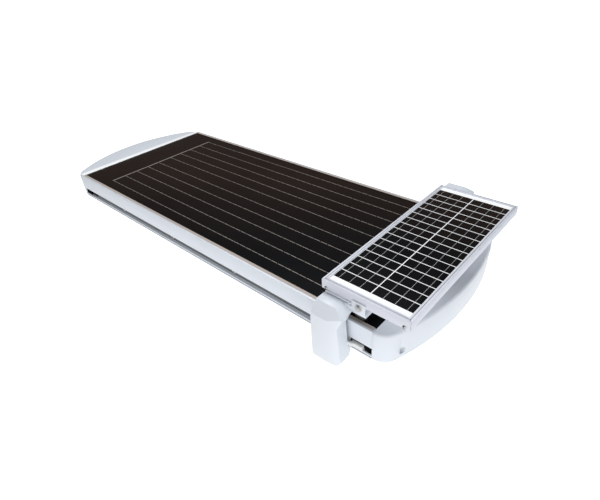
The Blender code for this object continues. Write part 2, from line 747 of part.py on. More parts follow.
def build_small_panel(carriage):
    """Small solar panel: four mitred frame rails, the laminate and the box for its leads."""
    middle = (PANEL_FRONT + PANEL_BACK) / 2
    half = (PANEL_FRONT - PANEL_BACK) / 2
    rails = {
        "panel_rail_front": (PANEL_HALF, lambda along, inwards, z: (PANEL_FRONT - inwards, along, z)),
        "panel_rail_back": (PANEL_HALF, lambda along, inwards, z: (PANEL_BACK + inwards, along, z)),
        "panel_rail_left": (half, lambda along, inwards, z: (middle + along, -PANEL_HALF + inwards, z)),
        "panel_rail_right": (half, lambda along, inwards, z: (middle + along, PANEL_HALF - inwards, z)),
    }
    for name, (length_half, across) in rails.items():
        object_of(name, frame_rail(length_half, across), "anodised_aluminium", carriage)
    rim = 1.6 + GAP
    top = PANEL_TOP - 1.2 - GAP
    laminate = box(
        (PANEL_BACK + rim, PANEL_FRONT - rim), (-PANEL_HALF + rim, PANEL_HALF - rim), (top - 3.4, top)
    )
    object_of("small_laminate", laminate, "solar_glass", carriage)
    leads = box((55, 95), (-35, 35), (top - 3.4 - GAP - 11, top - 3.4 - GAP), 1.5)
    object_of("panel_junction_box", leads, "black_plastic", carriage)


# ---------------------------------------------------------------- assembly

clear_scene()
build_socket()
tilt_axis = frame_at("tilt_axis", (0, 0, SOCKET_LENGTH + PIVOT_RISE))
head_frame = frame_at("head_frame", (HEAD_X, 0, PIVOT_DROP), tilt_axis)
build_head(head_frame)
build_button(head_frame)
carriage_frame = frame_at("carriage_frame", (CARRIAGE_X, 0, 0), head_frame)
build_bridge(carriage_frame)
build_brush(carriage_frame)
build_small_panel(carriage_frame)
for arm_side in (-1, 1):
    build_arm(carriage_frame, arm_side)
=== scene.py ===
"""Looks of a solar street lamp whose powered carriage sweeps its panel.

The packed frame gives every place and size. Lengths are in metres, +X runs away from the pole, +Z is up.
"""

import json
import math

import bmesh
import bpy
from mathutils import Matrix, Vector


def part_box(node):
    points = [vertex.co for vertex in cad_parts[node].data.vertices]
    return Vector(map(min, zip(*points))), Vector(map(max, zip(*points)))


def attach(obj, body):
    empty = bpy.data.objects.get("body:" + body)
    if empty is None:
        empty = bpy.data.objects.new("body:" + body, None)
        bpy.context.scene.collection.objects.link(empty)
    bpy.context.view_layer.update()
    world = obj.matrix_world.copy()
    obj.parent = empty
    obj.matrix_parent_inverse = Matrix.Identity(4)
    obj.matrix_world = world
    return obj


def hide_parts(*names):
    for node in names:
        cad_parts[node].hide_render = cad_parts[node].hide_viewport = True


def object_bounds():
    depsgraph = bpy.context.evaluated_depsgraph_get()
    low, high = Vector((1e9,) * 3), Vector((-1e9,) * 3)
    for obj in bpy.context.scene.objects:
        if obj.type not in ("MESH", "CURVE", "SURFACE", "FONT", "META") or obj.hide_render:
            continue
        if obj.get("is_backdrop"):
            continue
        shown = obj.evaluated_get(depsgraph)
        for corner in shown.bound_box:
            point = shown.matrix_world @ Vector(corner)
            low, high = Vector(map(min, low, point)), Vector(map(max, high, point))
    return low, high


bl_info = {
    "name": "Solar street lamp",
    "version": (1, 0, 0),
    "blender": (4, 5, 0),
    "location": "View3D > Sidebar > Street lamp",
    "description": "Builds the looks of a self-sweeping solar street lamp around its frame",
    "category": "Object",
}

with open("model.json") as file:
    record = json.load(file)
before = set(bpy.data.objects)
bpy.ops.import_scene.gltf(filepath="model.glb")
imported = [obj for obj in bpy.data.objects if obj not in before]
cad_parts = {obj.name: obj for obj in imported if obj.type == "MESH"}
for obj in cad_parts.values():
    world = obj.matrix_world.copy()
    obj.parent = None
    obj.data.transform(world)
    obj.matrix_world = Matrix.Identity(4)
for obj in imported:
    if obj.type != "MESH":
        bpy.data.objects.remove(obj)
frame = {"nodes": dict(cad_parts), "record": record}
MM = 0.001
SEED = 7
SIDES = {"left": -1, "right": 1}

# Name: colour, roughness, metallic, grain along x, y and z, bump, drift, dust, coat
FINISHES = {
    "white_enamel": ((0.80, 0.84, 0.90), 0.36, 0.0, (420, 420, 420), 0.05, 0.04, 0.06, 0.25),
    "rail_aluminium": ((0.76, 0.80, 0.86), 0.46, 0.12, (14, 900, 900), 0.10, 0.07, 0.10, 0.0),
    "frame_aluminium": ((0.74, 0.76, 0.83), 0.48, 0.10, (500, 60, 700), 0.07, 0.05, 0.04, 0.0),
    "cast_aluminium": ((0.60, 0.62, 0.65), 0.52, 0.85, (260, 260, 260), 0.30, 0.12, 0.15, 0.0),
    "zinc_steel": ((0.62, 0.62, 0.60), 0.30, 1.0, (600, 600, 120), 0.12, 0.14, 0.05, 0.0),
    # Painted shade: the dark of hollows round and in screw heads
    "painted_recess_shade": ((0.05, 0.05, 0.055), 0.45, 0.6, (600, 600, 600), 0.10, 0.20, 0.10, 0.0),
    "tray_paint": ((0.72, 0.75, 0.79), 0.48, 0.0, (520, 520, 520), 0.12, 0.06, 0.05, 0.0),
    "laminate_black": ((0.006, 0.005, 0.006), 0.30, 0.0, (90, 90, 90), 0.0, 0.25, 0.004, 0.12),
    "wafer_silicon": ((0.008, 0.006, 0.006), 0.32, 0.0, (1400, 10, 10), 0.0, 0.55, 0.004, 0.12),
    "busbar_tin": ((0.44, 0.40, 0.35), 0.34, 0.3, (900, 900, 900), 0.05, 0.25, 0.02, 0.6),
    "small_busbar": ((0.55, 0.55, 0.55), 0.34, 0.3, (900, 900, 900), 0.05, 0.25, 0.02, 0.6),
    "back_sheet": ((0.93, 0.94, 0.95), 0.30, 0.0, (300, 300, 300), 0.0, 0.04, 0.05, 0.9),
    # Painted shade: the grey of the groove's floor, the rail's aluminium in shade, and a darker seam line
    "groove_shade_and_seam": ((0.17, 0.175, 0.185), 0.42, 0.2, (20, 700, 700), 0.15, 0.15, 0.10, 0.0),
    # Painted shade: the rail's top face, darker than its lit sides
    "lip_shade": ((0.50, 0.44, 0.40), 0.50, 0.1, (14, 900, 900), 0.05, 0.10, 0.05, 0.0),
    "cell_silicon": ((0.008, 0.006, 0.006), 0.32, 0.0, (10, 1400, 10), 0.0, 0.55, 0.004, 0.12),
    # Painted shade: the dark of the frame's narrow top channel
    "frame_channel_shade": ((0.40, 0.40, 0.45), 0.50, 0.1, (500, 60, 700), 0.05, 0.10, 0.05, 0.0),
    # Painted shade: the black of the groove's deeply shaded ends
    "groove_end_shade": ((0.006, 0.006, 0.007), 0.85, 0.0, (60, 500, 500), 0.05, 0.20, 0.0, 0.0),
    "clear_optic": ((0.93, 0.95, 0.96), 0.06, 0.0, (200, 200, 200), 0.0, 0.0, 0.0, 0.0),
    "board_mask": ((0.84, 0.85, 0.82), 0.45, 0.0, (300, 300, 300), 0.05, 0.05, 0.02, 0.2),
    "phosphor": ((0.80, 0.62, 0.12), 0.40, 0.0, (900, 900, 900), 0.05, 0.10, 0.0, 0.5),
    "black_moulding": ((0.028, 0.028, 0.030), 0.50, 0.0, (700, 700, 700), 0.25, 0.20, 0.12, 0.0),
    "red_moulding": ((0.60, 0.04, 0.035), 0.38, 0.0, (500, 500, 500), 0.08, 0.08, 0.05, 0.2),
    "sensor_lens": ((0.84, 0.84, 0.81), 0.40, 0.0, (200, 200, 900), 0.20, 0.05, 0.05, 0.1),
    "white_nylon": ((0.82, 0.83, 0.82), 0.46, 0.0, (350, 350, 350), 0.08, 0.08, 0.12, 0.0),
    "tyre_rubber": ((0.030, 0.030, 0.032), 0.85, 0.0, (900, 900, 300), 0.45, 0.25, 0.20, 0.0),
    "bristle_nylon": ((0.035, 0.036, 0.040), 0.55, 0.0, (900, 900, 60), 0.20, 0.45, 0.15, 0.0),
    "battery_film": ((0.03, 0.12, 0.36), 0.32, 0.0, (120, 120, 120), 0.10, 0.10, 0.03, 0.4),
}

# Painted reflection, how the dark cells turn from a warm brown reflection to cool black: its slope along x,
# its slope along y and its start
PAINTED_REFLECTION_SLOPES = {
    "laminate_black": (1.67, -2.77, -0.315),
    "wafer_silicon": (1.67, -2.77, -0.315),
    "cell_silicon": (0.0, -4.1, 0.8),
}
# The darker and the lighter tone of that painted reflection, warm and cool
WARM_REFLECTION_TONES = (0.014, 0.008, 0.006), (0.026, 0.016, 0.012)
COOL_REFLECTION_TONES = (0.0015, 0.002, 0.003), (0.005, 0.005, 0.0055)

DUST_COLOUR = (0.46, 0.43, 0.39)
COAT_ROUGHNESS = 0.05
PANEL_COAT_ROUGHNESS = 0.32  # over the dark cells, so that the lights don't show in them as shapes
DARK_SPECULAR = 0.06
DARK_IOR = 1.2
PAINTED_SHEET_GLOW = 0.28  # painted glow: the white sheet under the glass gives off light of its own, as if daylight came back from it
OPTIC_IOR = 1.49
OPTIC_TRANSMISSION = 0.95
ROUGHNESS_SPREAD = 0.16  # from the smoothest to the roughest grain
GRAIN_DEPTH = 0.0004

# The start of a part's name and the finish it takes
NODE_FINISHES = {
    "slipfitter_socket": "cast_aluminium",
    "bracket_saddle": "cast_aluminium",
    "led_heatsink": "cast_aluminium",
    "tilt_pivot_bolt": "zinc_steel",
    "clamp_screw": "zinc_steel",
    "bracket_stud_plate": "zinc_steel",
    "cap_screw": "zinc_steel",
    "brush_bolt": "zinc_steel",
    "guide_axle": "zinc_steel",
    "gear_motor": "zinc_steel",
    "solar_laminate": "laminate_black",
    "small_laminate": "back_sheet",
    "side_rail": "rail_aluminium",
    "panel_rail": "frame_aluminium",
    "end_cap": "white_enamel",
    "arm_cover": "white_enamel",
    "arm_chassis": "white_enamel",
    "bridge": "white_enamel",
    "brush_holder": "white_enamel",
    "base_tray": "tray_paint",
    "led_board": "board_mask",
    "carriage_board": "board_mask",
    "lens_plate": "clear_optic",
    "battery_pack": "battery_film",
    "carriage_battery": "battery_film",
    "charge_controller": "black_moulding",
    "button_bezel": "black_moulding",
    "brush_back": "black_moulding",
    "panel_junction_box": "black_moulding",
    "motion_sensor": "sensor_lens",
    "power_button": "red_moulding",
    "brush_bristles": "bristle_nylon",
    "guide_wheel": "white_nylon",
    "guide_shoe": "white_nylon",
    "drive_hub": "white_nylon",
    "drive_tyre": "tyre_rubber",
}

# Parts whose sharp edges are broken, and by how much, in millimetres
SOFTENED = {
    "end_cap": 0.8,
    "arm_cover": 2.4,
    "side_rail": 0.35,
    "panel_rail": 0.3,
    "bracket_saddle": 0.8,
    "slipfitter_socket": 0.8,
    "bridge_beam": 0.5,
    "brush_holder": 0.25,
    "guide_shoe": 0.6,
    "clamp_screw": 0.5,
    "tilt_pivot_bolt": 0.6,
    "lens_plate": 0.4,
}


# ---------------------------------------------------------------- shader groups and materials


def shader_group(name, numbers, outputs):
    """An empty shader group with named number inputs and float outputs."""
    group = bpy.data.node_groups.new(name, "ShaderNodeTree")
    for label, value in numbers.items():
        group.interface.new_socket(label, in_out="INPUT", socket_type="NodeSocketFloat").default_value = value
    for label in outputs:
        group.interface.new_socket(label, in_out="OUTPUT", socket_type="NodeSocketFloat")
    return group, group.nodes.new("NodeGroupInput"), group.nodes.new("NodeGroupOutput")


def maths(tree, operation, *values):
    """A Math node's result. Its inputs are sockets or plain numbers. A multiply-add stays within 0 and 1."""
    node = tree.nodes.new("ShaderNodeMath")
    node.operation = operation
    node.use_clamp = operation == "MULTIPLY_ADD"
    for socket, value in zip(node.inputs, values):
        if isinstance(value, (int, float)):
            socket.default_value = value
        else:
            tree.links.new(value, socket)
    return node.outputs[0]


def noise(tree, vector, scale, detail=3.0):
    node = tree.nodes.new("ShaderNodeTexNoise")
    node.inputs["Detail"].default_value = detail
    tree.links.new(vector, node.inputs["Vector"])
    if isinstance(scale, (int, float)):
        node.inputs["Scale"].default_value = scale
    else:
        tree.links.new(scale, node.inputs["Scale"])
    return node.outputs["Fac"]


def grain_group():
    """Fine surface grain, drawn out along the axes where its rates are low."""
    labels = ("Along X", "Along Y", "Along Z")
    group, start, end = shader_group("surface_grain", dict.fromkeys(labels, 400), ["Height"])
    place = group.nodes.new("ShaderNodeTexCoord").outputs["Object"]
    rates = group.nodes.new("ShaderNodeCombineXYZ")
    for label, socket in zip(labels, rates.inputs):
        group.links.new(start.outputs[label], socket)
    drawn = group.nodes.new("ShaderNodeVectorMath")
    drawn.operation = "MULTIPLY"
    group.links.new(place, drawn.inputs[0])
    group.links.new(rates.outputs[0], drawn.inputs[1])
    group.links.new(noise(group, drawn.outputs[0], 1.0, 2.0), end.inputs["Height"])
    return group


def drift_group():
    """Broad, slow change of tone, and a finer mottle over it."""
    group, start, end = shader_group("tone_drift", {"Rate": 5.0}, ["Mask"])
    place = group.nodes.new("ShaderNodeTexCoord").outputs["Object"]
    broad = noise(group, place, start.outputs["Rate"], 2.0)
    mottle = noise(group, place, 60.0, 4.0)
    mixed = maths(group, "ADD", maths(group, "MULTIPLY", broad, 0.7), maths(group, "MULTIPLY", mottle, 0.3))
    group.links.new(mixed, end.inputs["Mask"])
    return group


def dust_group():
    """Dust that settles in patches on what faces up."""
    group, start, end = shader_group("settled_dust", {"Rate": 38.0}, ["Mask"])
    place = group.nodes.new("ShaderNodeTexCoord").outputs["Object"]
    facing = group.nodes.new("ShaderNodeSeparateXYZ")
    group.links.new(group.nodes.new("ShaderNodeNewGeometry").outputs["Normal"], facing.inputs[0])
    up = maths(group, "MAXIMUM", facing.outputs["Z"], 0.0)
    patches = maths(group, "MULTIPLY_ADD", noise(group, place, start.outputs["Rate"], 6.0), 2.2, -0.75)
    group.links.new(maths(group, "MULTIPLY", up, patches), end.inputs["Mask"])
    return group


def placed(tree, group, **values):
    """A shader group put in a material with its own values."""
    node = tree.nodes.new("ShaderNodeGroup")
    node.node_tree = group
    for label, value in values.items():
        node.inputs[label.replace("_", " ")].default_value = value
    return node.outputs[0]


def mixed_colour(tree, mask, first, second):
    node = tree.nodes.new("ShaderNodeMix")
    node.data_type = "RGBA"
    for socket, value in ((node.inputs[0], mask), (node.inputs[6], first), (node.inputs[7], second)):
        if isinstance(value, tuple):
            socket.default_value = (*value, 1.0)
        else:
            tree.links.new(value, socket)
    return node.outputs[2]


def seen_or_felt(tree, seen, felt):
    """A strength with one value for what the camera sees and another for the light that it gives."""
    direct = tree.nodes.new("ShaderNodeLightPath").outputs["Is Camera Ray"]
    return maths(tree, "ADD", maths(tree, "MULTIPLY", direct, seen - felt), felt)


def group_called(name):
    makers = {"surface_grain": grain_group, "tone_drift": drift_group, "settled_dust": dust_group}
    return bpy.data.node_groups.get(name) or makers[name]()


def finish_of(name):
    """The material of a finish: tone drift and dust in its colour, grain in its roughness and bump."""
    found = bpy.data.materials.get(name)
    if found:
        return found
    colour, roughness, metallic, rates, bump, drift, dust, coat = FINISHES[name]
    material = bpy.data.materials.new(name)
    material.use_nodes = True
    tree = material.node_tree
    shader = tree.nodes["Principled BSDF"]
    shader.inputs["Metallic"].default_value = metallic
    shader.inputs["Coat Weight"].default_value = coat
    shader.inputs["Coat Roughness"].default_value = PANEL_COAT_ROUGHNESS if name in PAINTED_REFLECTION_SLOPES else COAT_ROUGHNESS
    if name in PAINTED_REFLECTION_SLOPES or name == "groove_end_shade":
        shader.inputs["Specular IOR Level"].default_value = DARK_SPECULAR
        shader.inputs["IOR"].default_value = DARK_IOR
    # Painted glow: the white sheet gives off light, though it is no lamp
    if name == "back_sheet":
        shader.inputs["Emission Color"].default_value = (*colour, 1.0)
        shader.inputs["Emission Strength"].default_value = PAINTED_SHEET_GLOW
    if name == "clear_optic":
        shader.inputs["Base Color"].default_value = (*colour, 1.0)
        shader.inputs["Roughness"].default_value = roughness
        shader.inputs["Transmission Weight"].default_value = OPTIC_TRANSMISSION
        shader.inputs["IOR"].default_value = OPTIC_IOR
        return material

    tone = placed(tree, group_called("tone_drift"), Rate=5.0)
    darker = tuple(c * (1.0 - drift) for c in colour)
    lighter = tuple(min(1.0, c * (1.0 + drift)) for c in colour)
    # Painted reflection: a warm brown tone across the dark cells that turns to cool black
    if name in PAINTED_REFLECTION_SLOPES:
        slope_x, slope_y, start = PAINTED_REFLECTION_SLOPES[name]
        along = tree.nodes.new("ShaderNodeSeparateXYZ")
        tree.links.new(tree.nodes.new("ShaderNodeTexCoord").outputs["Object"], along.inputs[0])
        across = maths(tree, "ADD", maths(tree, "MULTIPLY", along.outputs["Y"], slope_y), start)
        reflection_mix = maths(tree, "MULTIPLY_ADD", along.outputs["X"], slope_x, across)
        darker, lighter = (mixed_colour(tree, reflection_mix, *tones) for tones in zip(WARM_REFLECTION_TONES, COOL_REFLECTION_TONES))
    base = mixed_colour(tree, tone, darker, lighter)
    patches = placed(tree, group_called("settled_dust"), Rate=38.0)
    base = mixed_colour(tree, maths(tree, "MULTIPLY", patches, dust), base, DUST_COLOUR)
    tree.links.new(base, shader.inputs["Base Color"])

    along_x, along_y, along_z = rates
    grain = placed(tree, group_called("surface_grain"), Along_X=along_x, Along_Y=along_y, Along_Z=along_z)
    spread = maths(tree, "MULTIPLY_ADD", grain, ROUGHNESS_SPREAD, roughness - ROUGHNESS_SPREAD / 2)
    dulled = maths(tree, "MULTIPLY_ADD", patches, dust, spread)
    tree.links.new(dulled, shader.inputs["Roughness"])
    if bump:
        height = tree.nodes.new("ShaderNodeBump")
        height.inputs["Strength"].default_value = bump
        height.inputs["Distance"].default_value = GRAIN_DEPTH
        tree.links.new(grain, height.inputs["Height"])
        tree.links.new(height.outputs[0], shader.inputs["Normal"])
    return material


# ---------------------------------------------------------------- pieces


def finish_for(node):
    """The finish of a part, from the longest name start that fits it."""
    return NODE_FINISHES[max((key for key in NODE_FINISHES if node.startswith(key)), key=len)]


def slot_of(node):
    return next(part["material_slot"] for part in frame["record"]["subparts"] if part["node"] == node)


def body_holding(node):
    bodies = frame["record"]["behaviour"]["bodies"]
    return next(body for body, nodes in bodies.items() if node in nodes)


def new_piece(name, mesh, finish=None):
    obj = bpy.data.objects.new(name, mesh)
    bpy.context.scene.collection.objects.link(obj)
    if finish:
        mesh.materials.clear()
        mesh.materials.append(finish_of(finish))
    return obj


def settled(obj):
    """Turns an object's modifiers into its plain mesh."""
    graph = bpy.context.evaluated_depsgraph_get()
    mesh = bpy.data.meshes.new_from_object(obj.evaluated_get(graph), depsgraph=graph)
    obj.modifiers.clear()
    obj.data = mesh
    return obj


def box_between(x, y, z):
    """The low and the high corner of a box, from its two ends along each axis in either order."""
    ends = [sorted(pair) for pair in (x, y, z)]
    return [tuple(pair[i] for pair in ends) for i in (0, 1)]


def solid(name, boxes, finish, bevel=0.0):
    """One piece from boxes, each given as its low and high corner, with its edges rounded by the bevel."""
    shape = bmesh.new()
    for low, high in boxes:
        size = Vector(high) - Vector(low)
        centre = (Vector(high) + Vector(low)) / 2
        made = bmesh.ops.create_cube(shape, size=1.0)
        bmesh.ops.scale(shape, vec=size, verts=made["verts"])
        bmesh.ops.translate(shape, vec=centre, verts=made["verts"])
    mesh = bpy.data.meshes.new(name)
    shape.to_mesh(mesh)
    shape.free()
    obj = new_piece(name, mesh, finish)
    if bevel:
        rounded = obj.modifiers.new("Bevel", "BEVEL")
        rounded.width = bevel
        rounded.segments = 3
        settled(obj)
        obj.data.shade_smooth()
        obj.data.set_sharp_from_angle(angle=math.radians(40))
    return obj


def turned(name, profile, place, facing, finish, sides):
    """A turned piece. The profile's points are (distance out along the facing direction, radius)."""
    shape = bmesh.new()
    rings = []
    for along, radius in profile:
        angles = [2 * math.pi * i / sides for i in range(sides)]
        rings.append([shape.verts.new((radius * math.cos(a), radius * math.sin(a), along)) for a in angles])
    for low, high in zip(rings, rings[1:]):
        for i in range(sides):
            j = (i + 1) % sides
            shape.faces.new((low[i], low[j], high[j], high[i]))
    shape.faces.new(reversed(rings[0]))
    shape.faces.new(rings[-1])
    turn = Vector(facing).to_track_quat("Z", "Y").to_matrix().to_4x4()
    shape.transform(Matrix.Translation(place) @ turn)
    mesh = bpy.data.meshes.new(name)
    shape.to_mesh(mesh)
    shape.free()
    obj = new_piece(name, mesh, finish)
    mesh.shade_smooth()
    mesh.set_sharp_from_angle(angle=math.radians(35))
    return obj


def fitted(piece, body, slot, *stands_for):
    """Declares a finished piece: what it rides on and the parts that it stands for. Its slot is not used."""
    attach(piece, body)
    if stands_for:
        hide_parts(*stands_for)
    return piece


def softened(node, width):
    """A part's own shape with its sharp edges broken, which stands for the part."""
    mesh = frame["nodes"][node].data.copy()
    shape = bmesh.new()
    shape.from_mesh(mesh)
    bmesh.ops.remove_doubles(shape, verts=shape.verts, dist=2e-6)
    bmesh.ops.dissolve_limit(shape, angle_limit=math.radians(0.6), verts=shape.verts, edges=shape.edges)
    shape.to_mesh(mesh)
    shape.free()
    obj = new_piece(f"{node}_soft", mesh, finish_for(node))
    rounded = obj.modifiers.new("Bevel", "BEVEL")
    rounded.width = width * MM
    rounded.segments = 3
    rounded.limit_method = "ANGLE"
    rounded.angle_limit = math.radians(32)
    rounded.use_clamp_overlap = True
    settled(obj)
    obj.data.shade_smooth()
    obj.data.set_sharp_from_angle(angle=math.radians(34))
    return fitted(obj, body_holding(node), slot_of(node), node)


# ---------------------------------------------------------------- repeated pieces


SHAPES = {
    "box": ("GeometryNodeMeshCube", {"Size": "Piece Size"}),
    "disc": ("GeometryNodeMeshCylinder", {"Radius": "Radius", "Depth": "Height"}),
    "dome": ("GeometryNodeMeshUVSphere", {"Radius": "Radius"}),
    "strand": ("GeometryNodeMeshCone", {"Radius Bottom": "Radius", "Depth": "Height"}),
}
PATTERN_INPUTS = {
    "Count X": ("NodeSocketInt", 2),
    "Count Y": ("NodeSocketInt", 2),
    "Span X": ("NodeSocketFloat", 0.1),
    "Span Y": ("NodeSocketFloat", 0.1),
    "Piece Size": ("NodeSocketVector", (0.01, 0.01, 0.01)),
    "Radius": ("NodeSocketFloat", 0.002),
    "Height": ("NodeSocketFloat", 0.001),
    "Squash": ("NodeSocketVector", (1.0, 1.0, 1.0)),
    "Splay": ("NodeSocketVector", (0.0, 0.0, 0.0)),
    "Centre": ("NodeSocketVector", (0.0, 0.0, 0.0)),
    "Turn": ("NodeSocketVector", (0.0, 0.0, 0.0)),
    "Seed": ("NodeSocketInt", SEED),
    "Material": ("NodeSocketMaterial", None),
}


def pattern_tree(shape, sides):
    """A Geometry Nodes tree that lays one small shape out on a grid, then turns and places the whole."""
    name = f"{shape}_pattern_{sides}"
    found = bpy.data.node_groups.get(name)
    if found:
        return found
    tree = bpy.data.node_groups.new(name, "GeometryNodeTree")
    for label, (kind, value) in PATTERN_INPUTS.items():
        socket = tree.interface.new_socket(label, in_out="INPUT", socket_type=kind)
        if value is not None:
            socket.default_value = value
    tree.interface.new_socket("Geometry", in_out="OUTPUT", socket_type="NodeSocketGeometry")
    start = tree.nodes.new("NodeGroupInput")
    end = tree.nodes.new("NodeGroupOutput")
    link = tree.links.new

    grid = tree.nodes.new("GeometryNodeMeshGrid")
    for axis in "XY":
        link(start.outputs[f"Span {axis}"], grid.inputs[f"Size {axis}"])
        link(start.outputs[f"Count {axis}"], grid.inputs[f"Vertices {axis}"])
    kind, wiring = SHAPES[shape]
    unit = tree.nodes.new(kind)
    for socket, label in wiring.items():
        link(start.outputs[label], unit.inputs[socket])
    for label in ("Vertices", "Segments"):
        if label in unit.inputs:
            unit.inputs[label].default_value = sides
    if shape == "dome":
        unit.inputs["Rings"].default_value = max(4, sides // 2)

    pressed = tree.nodes.new("GeometryNodeTransform")
    link(unit.outputs["Mesh"], pressed.inputs["Geometry"])
    link(start.outputs["Squash"], pressed.inputs["Scale"])
    lean = tree.nodes.new("FunctionNodeRandomValue")
    lean.data_type = "FLOAT_VECTOR"
    least = tree.nodes.new("ShaderNodeVectorMath")
    least.operation = "SCALE"
    least.inputs["Scale"].default_value = -1.0
    link(start.outputs["Splay"], least.inputs[0])
    link(least.outputs[0], lean.inputs[0])
    link(start.outputs["Splay"], lean.inputs[1])
    link(start.outputs["Seed"], lean.inputs["Seed"])
    copies = tree.nodes.new("GeometryNodeInstanceOnPoints")
    link(grid.outputs["Mesh"], copies.inputs["Points"])
    link(pressed.outputs[0], copies.inputs["Instance"])
    link(lean.outputs[0], copies.inputs["Rotation"])
    whole = tree.nodes.new("GeometryNodeTransform")
    link(copies.outputs[0], whole.inputs["Geometry"])
    link(start.outputs["Turn"], whole.inputs["Rotation"])
    link(start.outputs["Centre"], whole.inputs["Translation"])
    real = tree.nodes.new("GeometryNodeRealizeInstances")
    painted = tree.nodes.new("GeometryNodeSetMaterial")
    link(whole.outputs[0], real.inputs[0])
    link(real.outputs[0], painted.inputs["Geometry"])
    link(start.outputs["Material"], painted.inputs["Material"])
    link(painted.outputs[0], end.inputs[0])
    return tree


def pattern(name, shape, finish, sides=16, **values):
    """A plain mesh piece made by a pattern tree. Values are the tree's inputs, with _ for a space."""
    obj = new_piece(name, bpy.data.meshes.new(name))
    tree = pattern_tree(shape, sides)
    made = obj.modifiers.new("Pattern", "NODES")
    made.node_group = tree
    sockets = {item.name: item.identifier for item in tree.interface.items_tree if item.in_out == "INPUT"}
    made[sockets["Material"]] = finish_of(finish)
    for label, value in values.items():
        made[sockets[label.replace("_", " ")]] = value
    settled(obj)
    if shape != "box":
        obj.data.shade_smooth()
        obj.data.set_sharp_from_angle(angle=math.radians(40))
    return obj


# ---------------------------------------------------------------- sizes


GLASS_LOW, GLASS_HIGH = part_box("solar_laminate")
SMALL_LOW, SMALL_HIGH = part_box("small_laminate")
PANEL_LOW, PANEL_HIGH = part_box("panel_rail_left")
PANEL_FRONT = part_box("panel_rail_front")
BRUSH_LOW, BRUSH_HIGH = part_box("brush_bristles")
LENS_LOW, LENS_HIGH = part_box("lens_plate")
BOARD_LOW, BOARD_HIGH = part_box("led_board")
TRAY_LOW, TRAY_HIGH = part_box("base_tray")
HOLDER_LOW, HOLDER_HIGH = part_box("brush_holder")
TRAVEL = 740 * MM  # of the carriage along the head
GLASS_MARGIN = 89.5 * MM  # from the far edge of the glass to the cross ribbon, less what the cap hides

# A side rail's groove: its depth from the rail's outer face, and heights above the rail's lowest edge
GROOVE_DEPTH = 6.0 * MM
GROOVE_LOW, GROOVE_HIGH = 7.8 * MM, 21.2 * MM
GROOVE_MIDDLE = 14.5 * MM
GROOVE_SCREWS = 4
GROOVE_SCREW_PITCH = 189.0 * MM
GROOVE_SCREW_START = 173.5 * MM  # from the rail's far end

FLOOR_REACH = 30.0
FLOOR_THICKNESS = 0.02
FLOOR_DROP = 150 * MM  # clear of the head's outer end when it tilts down
FLOOR_SEEN, FLOOR_FELT = 1.0, 0.45
SKY_SEEN = 1.1
SKY_COLOUR = (0.93, 0.96, 1.0, 1.0)
SENSOR_WIDTH = 36.0

# Name: place from the lamp's middle, side, power and colour
STUDIO_LIGHTS = {
    "key": ((1.2, -2.6, 0.9), 2.2, 27.0, (1.0, 0.99, 0.98)),
    "front_fill": ((2.8, -0.6, 0.5), 2.0, 16.0, (0.93, 0.96, 1.0)),
    "top_soft": ((-0.6, 0.6, 2.6), 1.4, 54.0, (0.97, 0.98, 1.0)),
}


def length(name, text, value):
    return bpy.props.FloatProperty(name=name, description=text, default=value, unit="LENGTH", precision=4)


def angle(name, text, degrees):
    return bpy.props.FloatProperty(name=name, description=text, default=math.radians(degrees), subtype="ANGLE")


def number(name, text, value):
    return bpy.props.FloatProperty(name=name, description=text, default=value)


def count(name, text, value):
    return bpy.props.IntProperty(name=name, description=text, default=value)


def triple(name, text, value, subtype):
    return bpy.props.FloatVectorProperty(name=name, description=text, default=value, subtype=subtype)


class MainPanelSizes(bpy.types.PropertyGroup):
    """Cells and ribbons of the large panel."""

    wafer_width: length("Wafer width", "Across the panel", 156.75 * MM)
    wafer_length: length("Wafer length", "Half-cut wafer, along the panel", 78.0 * MM)
    wafer_gap: length("Wafer gap", "Between wafers of one string", 1.6 * MM)
    string_gap: length("String gap", "Between the two strings", 5.1 * MM)
    busbar_pitch: length("Busbar pitch", "Between busbars of one wafer", 31.35 * MM)
    busbar_width: length("Busbar width", "Width of a ribbon", 1.0 * MM)
    wafer_rows: count("Wafer rows", "Wafers along a string", 9)


class SmallPanelSizes(bpy.types.PropertyGroup):
    """Cells and ribbons of the carriage's panel."""

    rows: count("Rows", "Cells across the carriage", 16)
    field_x: length("Field along", "Cell field along the lamp", 126.5 * MM)
    field_y: length("Field across", "Cell field across the lamp", 321.0 * MM)
    line: length("Grid line", "White line between cells", 1.5 * MM)
    busbar_pitch: length("Busbar pitch", "Between busbars", 18.0 * MM)
    busbar_width: length("Busbar width", "Width of a ribbon", 0.55 * MM)


class BrushSizes(bpy.types.PropertyGroup):
    """Bristles of the sweeping brush."""

    rows: count("Rows", "Rows of bristles", 9)
    columns: count("Columns", "Bristles along the brush", 240)
    thickness: length("Thickness", "Radius at a bristle's root", 0.45 * MM)
    splay: bpy.props.FloatProperty(name="Splay", description="Largest lean", default=0.45, subtype="ANGLE")


class LightSizes(bpy.types.PropertyGroup):
    """Light sources and optics under the head."""

    rows: count("Rows", "Sources across the lamp", 8)
    columns: count("Columns", "Sources along the lamp", 12)
    chip: length("Chip", "Side of a light source", 5.0 * MM)
    lens_radius: length("Lens radius", "Radius of one optic", 8.0 * MM)


class StudioSettings(bpy.types.PropertyGroup):
    """Camera, lights and floor."""

    place: triple("Place", "Where the camera is", (1.0143, -0.5451, 0.6683), "XYZ")
    bearing: angle("Bearing", "Turn about Z", 43.86)
    dip: angle("Dip", "Angle below the horizon", 34.98)
    roll: angle("Roll", "Turn about its own axis", -3.99)
    lens: number("Lens", "Focal length in millimetres", 26.45)
    floor_colour: triple("Floor", "Colour of the floor", (0.93, 0.93, 0.93), "COLOR")
    sky_strength: number("Sky", "Strength of the surrounding light", 0.16)


# ---------------------------------------------------------------- operators


